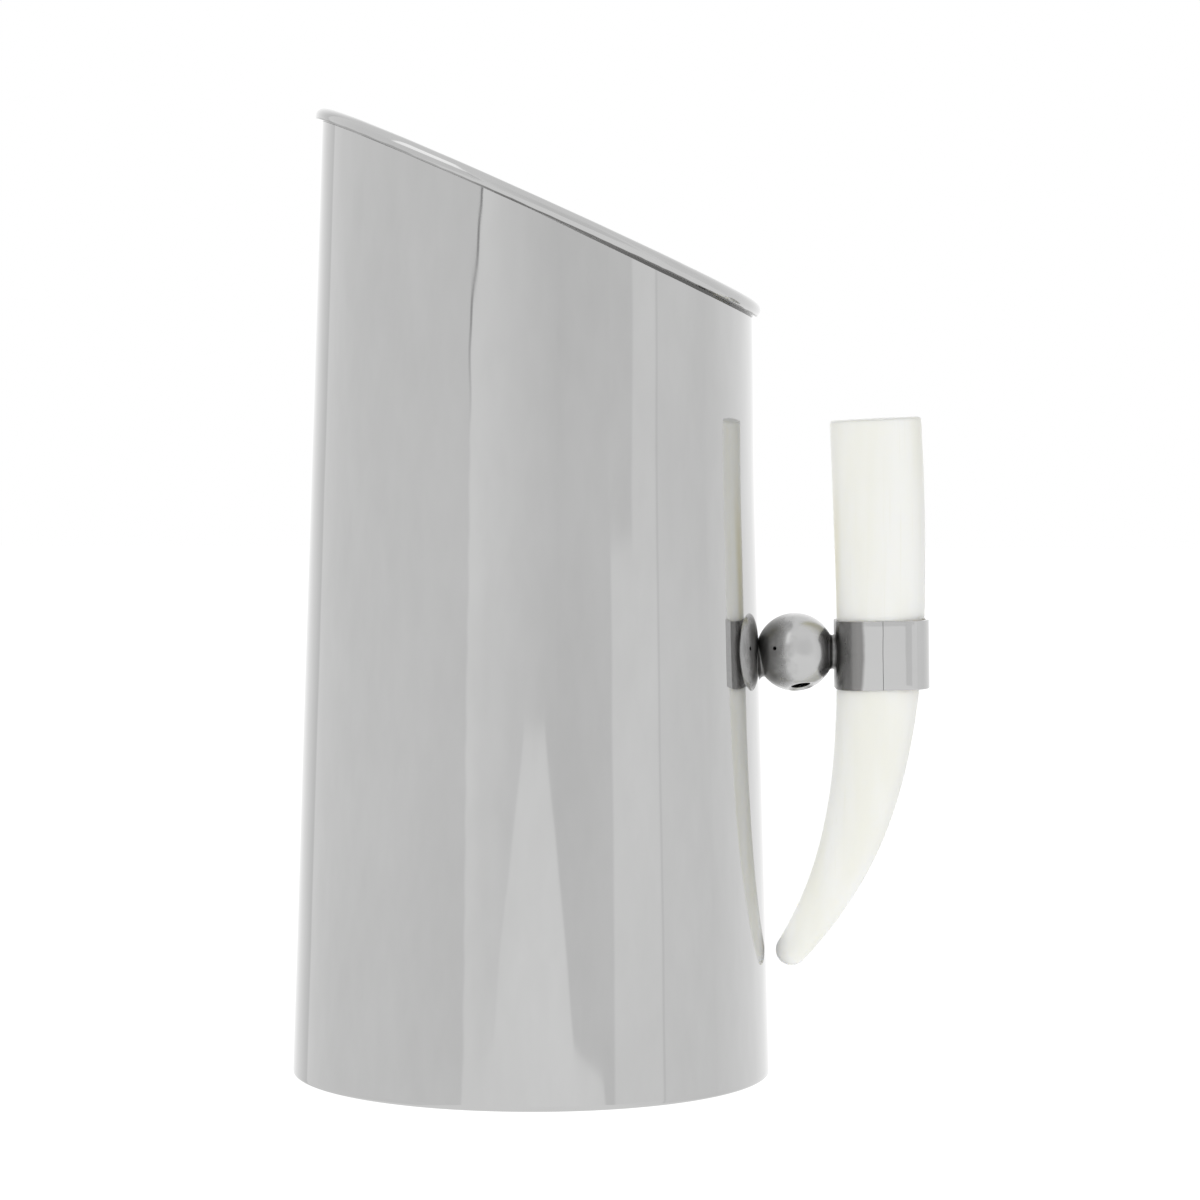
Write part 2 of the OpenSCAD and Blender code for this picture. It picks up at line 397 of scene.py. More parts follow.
class EffectShelf:
    """Builds each shared node group once and places it in materials."""

    def __init__(self) -> None:
        """Starts with an empty shelf."""
        self.made: dict[Effect, bpy.types.NodeTree] = {}

    def place(self, wires: Wires, effect: Effect, **values: Any) -> bpy.types.Node:
        """Adds an effect to a material.

        Args:
            wires: The material's tree.
            effect: Which effect to add.
            **values: Input values or sockets by name, with underscores for spaces.

        Returns:
            The group node, whose outputs have names.
        """
        if effect not in self.made:
            self.made[effect] = self.build(effect)
        made = wires.node("ShaderNodeGroup", node_tree=self.made[effect])
        for key, value in values.items():
            wires.plug(made.inputs[key.replace("_", " ")], value)
        return made

    def build(self, effect: Effect) -> bpy.types.NodeTree:
        """Returns a new node group for an effect."""
        recipes = {
            Effect.HAIRLINES: self.hairlines,
            Effect.CLOUDING: self.clouding,
            Effect.PAINTED_SHADE: self.painted_shade,
        }
        return recipes[effect]()

    @staticmethod
    def blank(name: str, inputs: dict[str, float | None], outputs: Iterable[str]) -> tuple[Wires, Any, Any]:
        """Makes an empty group with named sockets.

        Args:
            name: The group's name.
            inputs: Input names with their default values; None makes a vector input.
            outputs: Names of the float outputs.

        Returns:
            The group's tree, its input node's outputs and its output node's inputs.
        """
        tree = bpy.data.node_groups.new(name, "ShaderNodeTree")
        for key, value in inputs.items():
            kind = "NodeSocketVector" if value is None else "NodeSocketFloat"
            socket = tree.interface.new_socket(name=key, in_out="INPUT", socket_type=kind)
            if value is not None:
                socket.default_value = value
        for key in outputs:
            tree.interface.new_socket(name=key, in_out="OUTPUT", socket_type="NodeSocketFloat")
        wires = Wires(tree)
        entry = wires.node("NodeGroupInput")
        leave = wires.node("NodeGroupOutput")
        return wires, entry.outputs, leave.inputs

    def hairlines(self) -> bpy.types.NodeTree:
        """Fine polishing scratches in three directions."""
        inputs = {"Vector": None, "Scale": 900.0, "Amount": 0.5}
        wires, entry, leave = self.blank("Hairlines", inputs, ("Height", "Mask"))
        total: Any = 0.0
        directions = ((0.2, 0.1, 0.5), (1.1, 0.7, 0.2), (0.5, 2.0, 1.3))
        for turn in directions:
            where = wires.stretched(entry["Vector"], (1.0, 1.0, 0.04), turn)
            line = wires.noise(where, entry["Scale"], 2.0, 0.6)
            total = wires.plus(total, wires.rise(line, 0.62, 0.74))
        mask = wires.maths("MULTIPLY", total, entry["Amount"], clamp=True)
        wires.plug(leave["Mask"], mask)
        wires.plug(leave["Height"], wires.minus(1.0, mask))
        return wires.tree

    def clouding(self) -> bpy.types.NodeTree:
        """Broad, soft patches of slightly duller polish."""
        inputs = {"Vector": None, "Scale": 25.0, "Contrast": 0.5}
        wires, entry, leave = self.blank("Clouding", inputs, ("Mask",))
        broad = wires.noise(entry["Vector"], entry["Scale"], 3.0, 0.55)
        fine_scale = wires.times(entry["Scale"], 7.0)
        fine = wires.noise(entry["Vector"], fine_scale, 2.0, 0.5)
        both = wires.times_plus(fine, 0.35, wires.times(broad, 0.65))
        centred = wires.minus(both, 0.5)
        gain = wires.times(entry["Contrast"], 4.0)
        wires.plug(leave["Mask"], wires.maths("MULTIPLY_ADD", centred, gain, 0.5, clamp=True))
        return wires.tree

    def painted_shade(self) -> bpy.types.NodeTree:
        """A ragged round patch of painted shade about a point."""
        inputs = {"Vector": None, "Centre": None, "Radius": 0.005, "Core": 0.55, "Ragged": 0.3}
        wires, entry, leave = self.blank("PaintedShade", inputs, ("Mask",))
        away = wires.vector("DISTANCE", entry["Vector"], entry["Centre"]).outputs["Value"]
        ragged = wires.minus(wires.noise(entry["Vector"], 420.0, 3.0), 0.5)
        ragged = wires.times(wires.times(ragged, entry["Radius"]), entry["Ragged"])
        reach = wires.plus(away, ragged)
        inner = wires.times(entry["Radius"], entry["Core"])
        mask = wires.minus(1.0, wires.rise(reach, inner, entry["Radius"]))
        wires.plug(leave["Mask"], mask)
        return wires.tree


EFFECTS = EffectShelf()


# ---- Finishes ----


@dataclass(frozen=True)
class Finish:
    """What every finish has: a name and the record's material slot."""

    name: str
    slot: str

    def start(self) -> tuple[bpy.types.Material, Wires, bpy.types.Node, Socket]:
        """Returns a new material, its tree, its shader and the piece's own coordinates."""
        material = bpy.data.materials.new(self.name)
        material.use_nodes = True
        wires = Wires(material.node_tree)
        shader = material.node_tree.nodes["Principled BSDF"]
        place = wires.node("ShaderNodeTexCoord").outputs["Object"]
        return material, wires, shader, place

    def material(self) -> bpy.types.Material:
        """Returns the finished material."""
        raise NotImplementedError


@dataclass(frozen=True)
class PaintedShadeSpot:
    """A ragged spot of painted shade round a point, drawn as darker colour on the metal."""

    place: Triple
    radius: float
    colour: Colour
    core: float = 0.55
    ragged: float = 0.3


@dataclass(frozen=True)
class PaintedJointShade:
    """Painted shade along the crevice of a joint that lies in a plane, painted darker towards the grip."""

    normal: Triple
    offset: float
    width: float
    colour: Colour

    def mask(self, wires: Wires, place: Socket) -> Socket:
        """Returns 1 where the painted shade lies along the joint and 0 away from it."""
        off = wires.vector("DOT_PRODUCT", place, self.normal).outputs["Value"]
        ragged = wires.minus(wires.noise(place, 160.0, 2.0), 0.5)
        off = wires.plus(off, wires.times(ragged, self.width))
        line = wires.rise(off, self.offset + self.width, self.offset + 0.6 * self.width)
        near_grip = wires.rise(wires.axes(place)[0], -25.0 * MM, -5.0 * MM)
        return wires.times(line, wires.times_plus(near_grip, 0.5, 0.45))


@dataclass(frozen=True)
class Lining:
    """The satin inside of a tapered wall."""

    line_radius: float
    slope: float
    rough: float = 0.38
    bare: float = 0.70

    def mask(self, wires: Wires, place: Socket) -> Socket:
        """Returns 1 within the given cone and 0 outside it."""
        flat = wires.vector("MULTIPLY", place, (1.0, 1.0, 0.0)).outputs[0]
        out = wires.vector("LENGTH", flat).outputs["Value"]
        edge = wires.times_plus(wires.axes(place)[2], -self.slope, self.line_radius)
        return wires.maths("LESS_THAN", out, edge)


@dataclass(frozen=True)
class PolishedMetal(Finish):
    """Bright polished white metal with fine marks and soft clouding."""

    bright: Colour = (0.590, 0.590, 0.589, 1.0)
    dull: Colour = (0.553, 0.553, 0.551, 1.0)
    gloss: float = 0.035
    worn: float = 0.10
    marks: float = 0.35
    marks_scale: float = 700.0
    marks_depth: float = 0.02
    cloud_scale: float = 22.0
    cloud_contrast: float = 0.5
    cloud_stretch: float = 1.0
    # Painted shade: darker spots and a darker line along a joint, drawn into the colour.
    painted_shade_spots: tuple[PaintedShadeSpot, ...] = ()
    shade_spot_rough: float = 0.12
    joint: PaintedJointShade | None = None
    lining: Lining | None = None

    def material(self) -> bpy.types.Material:
        """Returns polished metal, with painted shade spots and painted shade along a joint."""
        material, wires, shader, place = self.start()
        drawn_out = wires.stretched(place, (1.0, 1.0, 1.0 / self.cloud_stretch))
        cloud = EFFECTS.place(
            wires, Effect.CLOUDING, Vector=drawn_out, Scale=self.cloud_scale, Contrast=self.cloud_contrast,
        )
        lines = EFFECTS.place(
            wires, Effect.HAIRLINES, Vector=place, Scale=self.marks_scale, Amount=self.marks,
        )
        colour = wires.blend(cloud.outputs["Mask"], self.dull, self.bright)
        rough = wires.times_plus(lines.outputs["Mask"], self.worn - self.gloss, self.gloss)
        # Painted shade: each spot darkens the colour and roughens the metal round its point.
        for shade_spot in self.painted_shade_spots:
            mark = EFFECTS.place(
                wires, Effect.PAINTED_SHADE, Vector=place, Centre=shade_spot.place,
                Radius=shade_spot.radius, Core=shade_spot.core, Ragged=shade_spot.ragged,
            )
            colour = wires.blend(mark.outputs["Mask"], colour, shade_spot.colour)
            rough = wires.times_plus(mark.outputs["Mask"], self.shade_spot_rough, rough)
        # Painted shade in the crevice along the joint.
        if self.joint is not None:
            colour = wires.blend(self.joint.mask(wires, place), colour, self.joint.colour)
        metallic: Any = 1.0
        if self.lining is not None:
            inside = self.lining.mask(wires, place)
            rough = wires.times_plus(inside, self.lining.rough, rough)
            metallic = wires.times_plus(inside, self.lining.bare - 1.0, 1.0)
        wires.plug(shader.inputs["Base Color"], colour)
        wires.plug(shader.inputs["Roughness"], rough)
        wires.plug(shader.inputs["Metallic"], metallic)
        wires.bump(shader, lines.outputs["Height"], self.marks_depth, 0.02 * MM)
        return material


@dataclass(frozen=True)
class Resin(Finish):
    """Aged brown bedding resin."""

    pale: Colour = (0.40, 0.30, 0.17, 1.0)
    dark: Colour = (0.16, 0.10, 0.05, 1.0)

    def material(self) -> bpy.types.Material:
        """Returns the resin's material."""
        material, wires, shader, place = self.start()
        grain = wires.noise(place, 1500.0, 3.0)
        wires.plug(shader.inputs["Base Color"], wires.blend(grain, self.dark, self.pale))
        wires.bump(shader, grain, 0.3, 0.1 * MM)
        shader.inputs["Roughness"].default_value = 0.55
        return material


@dataclass(frozen=True)
class PaleHorn(Finish):
    """Polished pale horn: faint lengthwise fibres, greenish yellow where it is thin."""

    inner_edge: float
    band_top: float
    milk: Colour = (0.875, 0.878, 0.850, 1.0)
    cream: Colour = (0.845, 0.845, 0.785, 1.0)
    amber: Colour = (0.74, 0.69, 0.44, 1.0)

    def material(self) -> bpy.types.Material:
        """Returns the horn's material."""
        material, wires, shader, place = self.start()
        fibres = wires.noise(wires.stretched(place, (1.0, 1.0, 0.012)), 1500.0, 3.0, 0.6)
        growth = wires.noise(wires.stretched(place, (1.0, 1.0, 0.15)), 110.0, 2.0)
        colour = wires.blend(wires.rise(growth, 0.35, 0.7), self.milk, self.cream)
        colour = wires.blend(wires.rise(fibres, 0.55, 0.8), colour, self.cream)
        x, _, z = wires.axes(place)
        beside = wires.rise(x, self.inner_edge + 2.2 * MM, self.inner_edge)
        upper = wires.rise(z, self.band_top + 42.0 * MM, self.band_top + 8.0 * MM)
        lower = wires.rise(z, self.band_top - 4.0 * MM, self.band_top)
        near_band = wires.times(upper, lower)
        thin = wires.times(wires.times(beside, near_band), 0.85)
        colour = wires.blend(thin, colour, self.amber)
        wires.plug(shader.inputs["Base Color"], colour)
        wires.bump(shader, fibres, 0.15, 0.04 * MM)
        settings = {
            "Roughness": 0.28,
            "IOR": 1.54,
            "Specular IOR Level": 0.25,
            "Subsurface Weight": 0.6,
            "Subsurface Radius": (1.0, 0.97, 0.85),
            "Subsurface Scale": 2.5 * MM,
        }
        for key, value in settings.items():
            shader.inputs[key].default_value = value
        return material


# ---- Sub-assemblies ----


@dataclass
class Vessel:
    """The tapered wall, the base disc and the bead round the slanted mouth."""

    draft: float = math.radians(1.8)
    tilt: float = math.radians(24.0)
    thickness: float = 1.1 * MM
    disc_edge: float = 0.6 * MM
    flare: float = 0.75 * MM
    bead_radius: float = 2.22 * MM
    bead_seat: float = 1.5 * MM
    bead_out: float = 0.2 * MM
    steps: int = 320
    wall_rows: int = 141
    foot_height: float = field(init=False)
    line_radius: float = field(init=False)
    mouth_height: float = field(init=False)

    def __post_init__(self) -> None:
        """Works out the wall's line and the mouth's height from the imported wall."""
        low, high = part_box("body_wall")
        slope = math.tan(self.draft)
        self.foot_height = low.z
        self.line_radius = high.y + slope * low.z
        lip_radius = self.line_radius - slope * high.z
        self.mouth_height = high.z - math.tan(self.tilt) * lip_radius

    def radius(self, height: float) -> float:
        """Returns the wall's outer radius at a height."""
        return self.line_radius - height * math.tan(self.draft)

    def edge_height(self, turn: float) -> float:
        """Returns the height of the wall's top edge at an angle round the axis."""
        slope = math.tan(self.draft)
        fall = math.tan(self.tilt) * math.cos(turn)
        return (self.mouth_height - fall * self.line_radius) / (1.0 - fall * slope)

    def wave(self, turn: float, height: float) -> float:
        """Returns how far the hand-worked wall stands off its true cone."""
        around = Vector((math.cos(turn), math.sin(turn), 0.0))
        broad = noise.noise(around * 1.9 + Vector((3.1, 0.4, height / 0.055)))
        close = noise.noise(around * 5.0 + Vector((9.7, 5.2, height / 0.021)))
        hold = smooth_step(0.006, 0.040, height)
        return hold * (0.075 * MM * broad + 0.012 * MM * close)

    def outer(self, turn: float, height: float) -> float:
        """Returns the wall's true outer radius, with its waves and its slight flare near the mouth."""
        flare = self.flare * max(math.cos(turn), 0.0) ** 2 * smooth_step(0.150, 0.205, height)
        return self.radius(height) + self.wave(turn, height) + flare

    def column(self, turn: float) -> list[Pair]:
        """Returns the wall's closed section at an angle, as (radius, height).

        Args:
            turn: Angle round the axis, in radians.

        Returns:
            Points that run up the outside and down the inside.
        """
        top = self.edge_height(turn)
        across = self.thickness / math.cos(self.draft)
        rise = (top - self.foot_height) / self.wall_rows
        heights = [self.foot_height + rise * row for row in range(self.wall_rows + 1)]
        outside = [(self.outer(turn, z), z) for z in heights]
        inside = [(self.outer(turn, z) - across, z) for z in heights[::-3]]
        return outside + inside

    def build_wall(self) -> bpy.types.Object:
        """Returns the straight, slightly hand-worked wall."""
        rings = []
        for step in range(self.steps):
            turn = FULL_TURN * step / self.steps
            rings.append([(r * math.cos(turn), r * math.sin(turn), z) for r, z in self.column(turn)])
        return loft("pitcher_wall", np.array(rings), closed_path=True)

    def build_bead(self) -> bpy.types.Object:
        """Returns the wire that is soldered round the mouth."""
        normal = Vector((math.sin(self.tilt), 0.0, math.cos(self.tilt)))
        start = -math.asin(self.bead_seat / self.bead_radius)
        sweep = math.pi - 2.0 * start
        sides = 26
        rings = []
        steps = self.steps * 2
        for step in range(steps):
            turn = FULL_TURN * step / steps
            height = self.edge_height(turn)
            radial = Vector((math.cos(turn), math.sin(turn), 0.0))
            outward = (radial - radial.dot(normal) * normal).normalized()
            base = radial * (self.radius(height) + self.wave(turn, height)) + Vector((0.0, 0.0, height))
            swell = 1.0 - 0.02 * (1.0 + noise.noise(radial * 6.0))
            ring = []
            for side in range(sides + 1):
                angle = start + sweep * side / sides
                out = self.bead_out + swell * self.bead_radius * math.cos(angle)
                up = self.bead_seat + swell * self.bead_radius * math.sin(angle)
                ring.append(tuple(base + outward * out + normal * max(up, 0.0)))
            rings.append(ring)
        return loft("pitcher_rim_bead", np.array(rings), closed_path=True)

    def build_disc(self) -> bpy.types.Object:
        """Returns the bottom, flush with the wall, with faint spun rings inside."""
        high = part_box("base_disc")[1]
        edge = self.disc_edge
        edge_x = self.radius(edge) - edge / math.cos(self.draft)
        outline = arc((edge_x, edge), edge, -90.0, math.degrees(self.draft), 6)
        outer = self.radius(high.z)
        rows = 120
        for i in range(rows):
            share = i / rows
            ripple = 0.012 * MM * (1.0 - math.cos(share * 180.0)) * smooth_step(0.0, 0.05, share)
            outline.append((outer * (1.0 - share), high.z - ripple))
        outline += [(0.0, high.z), (0.0, 0.0)]
        return lathe("pitcher_base_disc", outline, self.steps)

    def dress(self) -> None:
        """Builds and finishes the vessel's pieces."""
        lining = Lining(self.line_radius - 0.17 * MM, math.tan(self.draft))
        wall = PolishedMetal(
            "wall_silver", "silver_wall", marks=0.16, lining=lining,
            cloud_scale=30.0, cloud_contrast=0.8, cloud_stretch=3.0,
        )
        dress(self.build_wall(), wall, "body_wall")
        # Painted shade under the rim bead: a dark band in the bead's colour just above its seat, darker
        # towards the grip.
        joint = PaintedJointShade(
            (math.sin(self.tilt), 0.0, math.cos(self.tilt)),
            self.mouth_height * math.cos(self.tilt),
            0.50 * MM,
            (0.15, 0.148, 0.145, 1.0),
        )
        bead = PolishedMetal("rim_silver", "silver_rim", gloss=0.08, worn=0.18, marks=0.5, joint=joint)
        dress(self.build_bead(), bead, "rim_bead")
        floor = Lining(self.line_radius - 1.0 * MM, math.tan(self.draft))
        disc = PolishedMetal("base_silver", "silver_base", lining=floor)
        dress(self.build_disc(), disc, "base_disc")


@dataclass
class BallJoint:
    """The hollow ball between wall and band, its solder and its dowel."""

    vessel: Vessel
    grip: "Grip"
    skin: float = 1.3 * MM
    drain_radius: float = 2.6 * MM
    drain_rim: float = 3.5 * MM
    drain_front: float = math.radians(21.0)
    drain_side: float = math.radians(8.5)
    pinhole_radius: float = 0.55 * MM
    pinhole_turn: float = math.radians(35.0)
    pinhole_rise: float = math.radians(8.3)
    dowel_radius: float = 2.0 * MM
    wall_collar_radius: float = 5.15 * MM
    wall_collar_drop: float = 2.6 * MM
    band_collar_radius: float = 5.0 * MM
    centre: Vector = field(init=False)
    radius: float = field(init=False)

    def __post_init__(self) -> None:
        """Reads the ball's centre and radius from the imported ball."""
        low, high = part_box("handle_ball")
        self.radius = (high.y - low.y) / 2.0
        reach = math.sqrt(self.radius**2 - self.dowel_radius**2)
        self.centre = Vector((high.x - reach, 0.0, high.z - self.radius))

    def drain_axis(self) -> Vector:
        """Returns the way that the hole under the ball points."""
        turn = Matrix.Rotation(-self.drain_front, 3, "X") @ Matrix.Rotation(-self.drain_side, 3, "Y")
        return turn @ Vector((0.0, 0.0, -1.0))

    def build_ball(self) -> bpy.types.Object:
        """Returns the hollow ball with its countersunk drain hole and its pinhole."""
        inner = self.radius - self.skin
        rim = math.degrees(math.asin(self.drain_rim / self.radius))
        mouth = math.degrees(math.asin(self.drain_radius / inner))
        outline = arc((0.0, 0.0), self.radius, -90.0, 90.0 - rim, 60)
        outline[0] = (0.0, -self.radius)
        seat = self.drain_radius + 0.25 * MM
        depth = outline[-1][1] - 0.55 * MM
        outline += [(self.drain_rim - 0.12 * MM, outline[-1][1] + 0.01 * MM), (seat, depth + 0.1 * MM)]
        outline += [(self.drain_radius, depth), (self.drain_radius, inner * math.cos(math.radians(mouth)))]
        outline += arc((0.0, 0.0), inner, 90.0 - mouth, -90.0, 30)[1:]
        outline[-1] = (0.0, -inner)
        aim = self.drain_axis().to_track_quat("Z", "Y").to_matrix().to_4x4()
        place = Matrix.Translation(self.centre) @ aim
        ball = lathe("handle_ball_shell", outline, 128, place, sharp_degrees=30.0)
        flat = math.cos(self.pinhole_rise)
        aim = Vector((
            -flat * math.sin(self.pinhole_turn),
            -flat * math.cos(self.pinhole_turn),
            math.sin(self.pinhole_rise),
        ))
        bore(ball, self.centre + aim * (inner - 0.5 * MM), aim, self.pinhole_radius, 4.0 * MM)
        self.seat_on_wall(ball)
        return ball

    def seat_on_wall(self, ball: bpy.types.Object) -> None:
        """Files the ball hollow where it would dip into the wall."""
        for vertex in ball.data.vertices:
            place = vertex.co
            around = Vector((place.x, place.y, 0.0))
            wall = self.vessel.outer(math.atan2(place.y, place.x), place.z)
            if around.length < wall:
                around = around.normalized() * (wall + 0.005 * MM)
                vertex.co = (around.x, around.y, place.z)

    def on_ball(self, y: float, z: float, side: float) -> Vector:
        """Returns the ball's surface point beside the given y and z, on its -X or +X side."""
        dz = z - self.centre.z
        depth = math.sqrt(max(self.radius**2 - y * y - dz * dz, 0.0))
        return Vector((self.centre.x + side * depth, y, z))

    def on_wall(self, y: float, z: float) -> Vector:
        """Returns the wall's surface point nearest the ball at the given y and z."""
        radius = self.vessel.outer(math.asin(y / self.vessel.radius(z)), z)
        return Vector((math.sqrt(radius * radius - y * y), y, z))

    def on_band(self, y: float, z: float) -> Vector:
        """Returns the band's surface point nearest the ball at the given y and z."""
        band = self.grip
        bow = max(abs(y) - (band.depth / 2.0 - band.corner), 0.0)
        local_x = band.corner - math.sqrt(band.corner**2 - bow * bow) - band.width / 2.0
        rise = z - band.centre.z
        return Vector((band.centre.x + local_x - rise * math.tan(band.lean) + 0.05 * MM, y, z))

    def fillet(
        self,
        name: str,
        foot: float,
        waist: float,
        drop: float,
        side: float,
        face: Callable[[float, float], Vector],
    ) -> bpy.types.Object:
        """Builds a dished ring of solder between the ball and a face.

        Args:
            name: Name of the piece.
            foot: Radius of the solder on the face.
            waist: Radius of the solder on the ball.
            drop: How far the solder's middle lies below the ball's.
            side: -1 for the wall's side of the ball, +1 for the band's.
            face: Gives the face's point for a y and z.

        Returns:
            The solder piece.
        """
        sides = 72
        rows = 12
        rings = []
        for row in range(rows + 1):
            share = row / rows
            ring = []
            for j in range(sides):
                turn = FULL_TURN * j / sides
                reach_out = Vector((0.0, math.cos(turn), math.sin(turn)))
                spot = Vector((math.cos(turn) * 2.0, math.sin(turn) * 2.0, side * 4.0))
                lump = 1.0 + 0.03 * noise.noise(spot)
                start_yz = reach_out * foot * lump + Vector((0.0, 0.0, self.centre.z - drop))
                end_yz = reach_out * waist * lump + Vector((0.0, 0.0, self.centre.z - drop * 0.75))
                start = face(start_yz.y, start_yz.z)
                end = self.on_ball(end_yz.y, end_yz.z, side)
                middle = (start + end) / 2.0 - reach_out * (0.35 * (end - start).length + 0.25 * MM)
                point = (1 - share) ** 2 * start + 2 * (1 - share) * share * middle + share**2 * end
                ring.append(tuple(point))
            rings.append(ring)
        return loft(name, np.array(rings), capped=True, sharp_degrees=60.0)

    def dress(self) -> None:
        """Builds and finishes the joint's pieces."""
        left = (self.centre.x - self.radius, 0.0, self.centre.z)
        right = (self.centre.x + self.radius, 0.0, self.centre.z)
        # Painted shade and painted reflection on the ball: darker over its side that faces the wall, round
        # its joint with the wall, and round its side that faces the band.
        painted_wall_side_shade = PaintedShadeSpot(left, 15.0 * MM, (0.235, 0.232, 0.228, 1.0))
        painted_wall_joint_shade = PaintedShadeSpot(left, 8.5 * MM, (0.16, 0.158, 0.155, 1.0))
        painted_band_side_reflection = PaintedShadeSpot(right, 7.5 * MM, (0.20, 0.198, 0.195, 1.0))
        ball = PolishedMetal(
            "ball_silver", "silver_ball", gloss=0.21, worn=0.30, marks=0.5,
            painted_shade_spots=(painted_wall_side_shade, painted_wall_joint_shade, painted_band_side_reflection),
        )
        dress(self.build_ball(), ball, "handle_ball")
        solder = PolishedMetal(
            "solder_silver", "solder", bright=(0.30, 0.298, 0.295, 1.0), dull=(0.10, 0.099, 0.097, 1.0),
            gloss=0.30, worn=0.45, cloud_scale=160.0,
        )
        wall_side = self.fillet(
            "solder_at_wall", self.wall_collar_radius, self.wall_collar_radius * 0.93,
            self.wall_collar_drop, -1.0, self.on_wall,
        )
        dress(wall_side, solder, "wall_collar")
        band_side = self.fillet(
            "solder_at_band", self.band_collar_radius, self.band_collar_radius * 0.97,
            0.0, 1.0, self.on_band,
        )
        dress(band_side, solder, "band_collar")
        rod = PolishedMetal("dowel_silver", "silver_dowel", gloss=0.25, worn=0.45, marks=0.8)
        dowel = bpy.data.objects["handle_dowel"]
        dowel.data.materials.clear()
        dowel.data.materials.append(rod.material())
        LOG.info("handle_dowel: shown as packed")


@dataclass
class Grip:
    """The horn and the band round it."""

    lean: float = math.radians(1.0)
    strip: float = 0.9 * MM
    bedding: float = 0.15 * MM
    corner: float = 7.5 * MM
    seam_width: float = 0.14 * MM
    seam_depth: float = 0.22 * MM
    seam_shift: float = -0.4 * MM
    top_height: float = 175.2 * MM
    edge: float = 0.8 * MM
    flatness: float = 0.76
    half_widths: tuple[float, ...] = (12.2 * MM, 12.8 * MM, 8.7 * MM, 4.3 * MM)
    top_shift: float = -2.1 * MM
    bend_points: tuple[Pair, ...] = ((0.0, 0.0), (4.1, -77.4), (2.3, -110.6), (-21.5, -142.6))
    centre: Vector = field(init=False)
    width: float = field(init=False)
    depth: float = field(init=False)
    height: float = field(init=False)

    def __post_init__(self) -> None:
        """Reads the band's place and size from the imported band."""
        low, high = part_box("horn_band")
        self.centre = (low + high) / 2.0
        self.depth = high.y - low.y
        self.height = (high.z - low.z) - (high.x - low.x) * math.sin(self.lean)
        self.width = (high.x - low.x) - self.height * math.sin(self.lean)

    def band_frame(self) -> Matrix:
        """Returns the band's own axes, which lean with the wall."""
        return Matrix.Translation(self.centre) @ Matrix.Rotation(-self.lean, 4, "Y")

    def outline(self, share: float, inset: float) -> Pair:
        """Returns a point on the band's rounded rectangle, drawn in by an inset.

        Args:
            share: Share of the way round, from the middle of the grip side towards the back.
            inset: How far the rectangle is drawn in on every side.

        Returns:
            The point across and along the depth.
        """
        across = self.width / 2.0 - self.corner
        deep = self.depth / 2.0 - self.corner
        bend = self.corner - inset
        quarter = math.pi * self.corner / 2.0
        lap = 4.0 * (across + deep + quarter)
        way = (share % 1.0) * lap
        for side in range(4):
            long, wide = ((across, deep), (deep, across))[side % 2]
            turn = side * math.pi / 2.0
            ahead = Vector((math.cos(turn), math.sin(turn)))
            left = Vector((-ahead.y, ahead.x))
            if way <= wide:
                return tuple(ahead * (long + bend) + left * way)
            way -= wide
            if way <= quarter:
                angle = way / self.corner
                forward = ahead * (long + bend * math.cos(angle))
                return tuple(forward + left * (wide + bend * math.sin(angle)))
            way -= quarter
            if way <= long:
                return tuple(left * (wide + bend) + ahead * (long - way))
            way -= long
        return self.width / 2.0 - inset, 0.0

    def strip_section(self) -> list[Pair]:
        """Returns the strip's section with softened edges, as (inset, height)."""
        soft = 0.22 * MM
        half = self.height / 2.0
        outer_low = arc((soft, -half + soft), soft, 270.0, 180.0, 4)
        outer_high = arc((soft, half - soft), soft, 180.0, 90.0, 4)
        face = [(0.0, -half + soft + (2 * half - 2 * soft) * i / 14) for i in range(1, 14)]
        inner = [(self.strip, half), (self.strip, -half)]
        return outer_low + face + outer_high + inner

    def build_band(self) -> bpy.types.Object:
        """Returns the band, a strip bent round the horn with its joint at the front."""
        steps = 300
        lap = 4.0 * (self.width / 2.0 + self.depth / 2.0 - 2.0 * self.corner) + FULL_TURN * self.corner
        seam = 0.75 + self.seam_shift / lap
        half = self.seam_width / lap / 2.0
        shares = [i / steps for i in range(steps) if abs(i / steps - seam) > 3.0 * half]
        shares += [seam - 2.2 * half, seam - half, seam, seam + half, seam + 2.2 * half]
        shares.sort()
        place = self.band_frame()
        rings = []
        for share in shares:
            sunk = self.seam_depth if abs(share - seam) < half * 0.5 else 0.0
            at_seam = abs(share - seam) < 3.0 * half
            ring = []
            turn = share * FULL_TURN
            for inset, height in self.strip_section():
                spot = Vector((math.cos(turn) * 3.0, math.sin(turn) * 3.0, height / 0.006))
                dent = 0.02 * MM * abs(noise.noise(spot))
                outer = inset < self.strip * 0.9
                drift = 0.10 * MM / lap * noise.noise(Vector((1.3, 0.4, height / 0.0035)))
                way = share + (drift if at_seam else 0.0)
                x, y = self.outline(way, inset + (sunk + dent if outer else 0.0))
                ring.append(tuple(place @ Vector((x, y, height))))
            rings.append(ring)
        return loft("grip_band", np.array(rings), closed_path=True, sharp_degrees=40.0)

    def build_bedding(self) -> bpy.types.Object:
        """Returns the resin between the band and the horn, just below the band's edges."""
        place = self.band_frame()
        half = self.height / 2.0 - 0.25 * MM
        inner = self.strip + 2.6 * MM
        section = ((self.strip, half), (self.strip, -half), (inner, -half), (inner, half))
        steps = 160
        rings = []
        for step in range(steps):
            points = [(*self.outline(step / steps, inset), height) for inset, height in section]
            rings.append([tuple(place @ Vector(point)) for point in points])
        return loft("grip_bedding", np.array(rings), closed_path=True)

